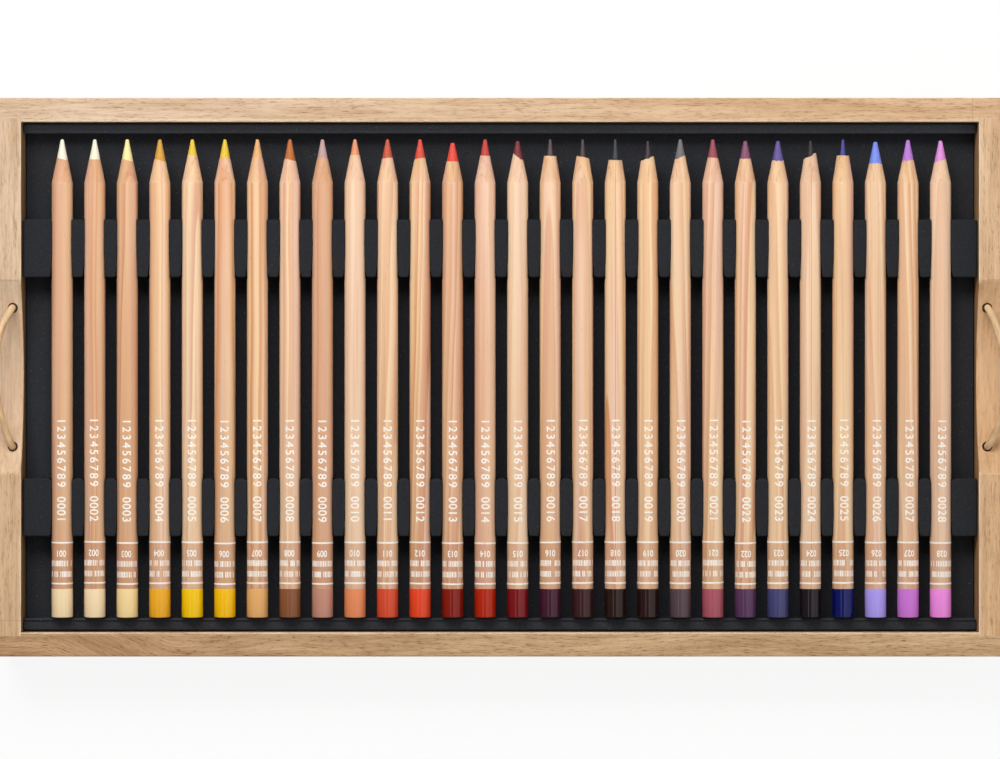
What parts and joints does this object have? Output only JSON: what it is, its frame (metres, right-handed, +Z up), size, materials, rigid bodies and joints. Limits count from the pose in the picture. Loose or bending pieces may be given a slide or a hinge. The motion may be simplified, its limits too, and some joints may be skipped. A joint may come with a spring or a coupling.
{
  "type": "pencil drawer tray",
  "caption": "Shallow oak drawer tray with a notched dark foam insert that cradles a row of colour pencils, and a cord loop over a finger dip at each end.",
  "frame": {"origin": "centre of the tray's underside, where it rests", "axes": "+X along the row of pencils, to the right as pictured; +Y the way the pencil tips point; +Z up, out of the open side"},
  "size_m": [0.3694, 0.203, 0.0279],
  "materials": {
    "oak": "oiled satin oak with fine grain",
    "plywood": "sanded birch plywood",
    "foam": "matte fine-celled charcoal foam",
    "cord": "smooth round natural leather cord",
    "pencil_wood": "satin clear-varnished cedar",
    "pigment": "waxy colour pencil core, another colour in each pencil",
    "end_paint": "glossy dipped end, another colour on each pencil"
  },
  "bodies": {
    "tray": {"front_rail": "oak", "back_rail": "oak", "left_end_board": "oak", "right_end_board": "oak", "bottom_panel": "plywood", "foam_floor": "foam", "foam_back_ledge": "foam", "foam_front_ledge": "foam", "foam_tip_comb": "foam", "foam_cap_comb": "foam", "left_handle_ends": "cord", "right_handle_ends": "cord"},
    "pencil_01": {"pencil_01": "pencil_wood"},
    "pencil_02": {"pencil_02": "pencil_wood"},
    "pencil_03": {"pencil_03": "pencil_wood"},
    "pencil_04": {"pencil_04": "pencil_wood"},
    "pencil_05": {"pencil_05": "pencil_wood"},
    "pencil_06": {"pencil_06": "pencil_wood"},
    "pencil_07": {"pencil_07": "pencil_wood"},
    "pencil_08": {"pencil_08": "pencil_wood"},
    "pencil_09": {"pencil_09": "pencil_wood"},
    "pencil_10": {"pencil_10": "pencil_wood"},
    "pencil_11": {"pencil_11": "pencil_wood"},
    "pencil_12": {"pencil_12": "pencil_wood"},
    "pencil_13": {"pencil_13": "pencil_wood"},
    "pencil_14": {"pencil_14": "pencil_wood"},
    "pencil_15": {"pencil_15": "pencil_wood"},
    "pencil_16": {"pencil_16": "pencil_wood"},
    "pencil_17": {"pencil_17": "pencil_wood"},
    "pencil_18": {"pencil_18": "pencil_wood"},
    "pencil_19": {"pencil_19": "pencil_wood"},
    "pencil_20": {"pencil_20": "pencil_wood"},
    "pencil_21": {"pencil_21": "pencil_wood"},
    "pencil_22": {"pencil_22": "pencil_wood"},
    "pencil_23": {"pencil_23": "pencil_wood"},
    "pencil_24": {"pencil_24": "pencil_wood"},
    "pencil_25": {"pencil_25": "pencil_wood"},
    "pencil_26": {"pencil_26": "pencil_wood"},
    "pencil_27": {"pencil_27": "pencil_wood"},
    "pencil_28": {"pencil_28": "pencil_wood"},
    "left_handle": {"left_handle_loop": "cord"},
    "right_handle": {"right_handle_loop": "cord"}
  },
  "joints": [
    {"name": "pencil_01_lift", "type": "slide", "parent": "tray", "child": "pencil_01", "axis": [0, 0, 1], "range_m": [0, 0.03]},
    {"name": "pencil_02_lift", "type": "slide", "parent": "tray", "child": "pencil_02", "axis": [0, 0, 1], "range_m": [0, 0.03]},
    {"name": "pencil_03_lift", "type": "slide", "parent": "tray", "child": "pencil_03", "axis": [0, 0, 1], "range_m": [0, 0.03]},
    {"name": "pencil_04_lift", "type": "slide", "parent": "tray", "child": "pencil_04", "axis": [0, 0, 1], "range_m": [0, 0.03]},
    {"name": "pencil_05_lift", "type": "slide", "parent": "tray", "child": "pencil_05", "axis": [0, 0, 1], "range_m": [0, 0.03]},
    {"name": "pencil_06_lift", "type": "slide", "parent": "tray", "child": "pencil_06", "axis": [0, 0, 1], "range_m": [0, 0.03]},
    {"name": "pencil_07_lift", "type": "slide", "parent": "tray", "child": "pencil_07", "axis": [0, 0, 1], "range_m": [0, 0.03]},
    {"name": "pencil_08_lift", "type": "slide", "parent": "tray", "child": "pencil_08", "axis": [0, 0, 1], "range_m": [0, 0.03]},
    {"name": "pencil_09_lift", "type": "slide", "parent": "tray", "child": "pencil_09", "axis": [0, 0, 1], "range_m": [0, 0.03]},
    {"name": "pencil_10_lift", "type": "slide", "parent": "tray", "child": "pencil_10", "axis": [0, 0, 1], "range_m": [0, 0.03]},
    {"name": "pencil_11_lift", "type": "slide", "parent": "tray", "child": "pencil_11", "axis": [0, 0, 1], "range_m": [0, 0.03]},
    {"name": "pencil_12_lift", "type": "slide", "parent": "tray", "child": "pencil_12", "axis": [0, 0, 1], "range_m": [0, 0.03]},
    {"name": "pencil_13_lift", "type": "slide", "parent": "tray", "child": "pencil_13", "axis": [0, 0, 1], "range_m": [0, 0.03]},
    {"name": "pencil_14_lift", "type": "slide", "parent": "tray", "child": "pencil_14", "axis": [0, 0, 1], "range_m": [0, 0.03]},
    {"name": "pencil_15_lift", "type": "slide", "parent": "tray", "child": "pencil_15", "axis": [0, 0, 1], "range_m": [0, 0.03]},
    {"name": "pencil_16_lift", "type": "slide", "parent": "tray", "child": "pencil_16", "axis": [0, 0, 1], "range_m": [0, 0.03]},
    {"name": "pencil_17_lift", "type": "slide", "parent": "tray", "child": "pencil_17", "axis": [0, 0, 1], "range_m": [0, 0.03]},
    {"name": "pencil_18_lift", "type": "slide", "parent": "tray", "child": "pencil_18", "axis": [0, 0, 1], "range_m": [0, 0.03]},
    {"name": "pencil_19_lift", "type": "slide", "parent": "tray", "child": "pencil_19", "axis": [0, 0, 1], "range_m": [0, 0.03]},
    {"name": "pencil_20_lift", "type": "slide", "parent": "tray", "child": "pencil_20", "axis": [0, 0, 1], "range_m": [0, 0.03]},
    {"name": "pencil_21_lift", "type": "slide", "parent": "tray", "child": "pencil_21", "axis": [0, 0, 1], "range_m": [0, 0.03]},
    {"name": "pencil_22_lift", "type": "slide", "parent": "tray", "child": "pencil_22", "axis": [0, 0, 1], "range_m": [0, 0.03]},
    {"name": "pencil_23_lift", "type": "slide", "parent": "tray", "child": "pencil_23", "axis": [0, 0, 1], "range_m": [0, 0.03]},
    {"name": "pencil_24_lift", "type": "slide", "parent": "tray", "child": "pencil_24", "axis": [0, 0, 1], "range_m": [0, 0.03]},
    {"name": "pencil_25_lift", "type": "slide", "parent": "tray", "child": "pencil_25", "axis": [0, 0, 1], "range_m": [0, 0.03]},
    {"name": "pencil_26_lift", "type": "slide", "parent": "tray", "child": "pencil_26", "axis": [0, 0, 1], "range_m": [0, 0.03]},
    {"name": "pencil_27_lift", "type": "slide", "parent": "tray", "child": "pencil_27", "axis": [0, 0, 1], "range_m": [0, 0.03]},
    {"name": "pencil_28_lift", "type": "slide", "parent": "tray", "child": "pencil_28", "axis": [0, 0, 1], "range_m": [0, 0.03]},
    {"name": "left_handle_swing", "type": "hinge", "parent": "tray", "child": "left_handle", "pos_m": [-0.1775, 0, 0.0221], "axis": [0, 1, 0], "range_deg": [-30, 120]},
    {"name": "right_handle_swing", "type": "hinge", "parent": "tray", "child": "right_handle", "pos_m": [0.1775, 0, 0.0221], "axis": [0, -1, 0], "range_deg": [-30, 120]}
  ]
}
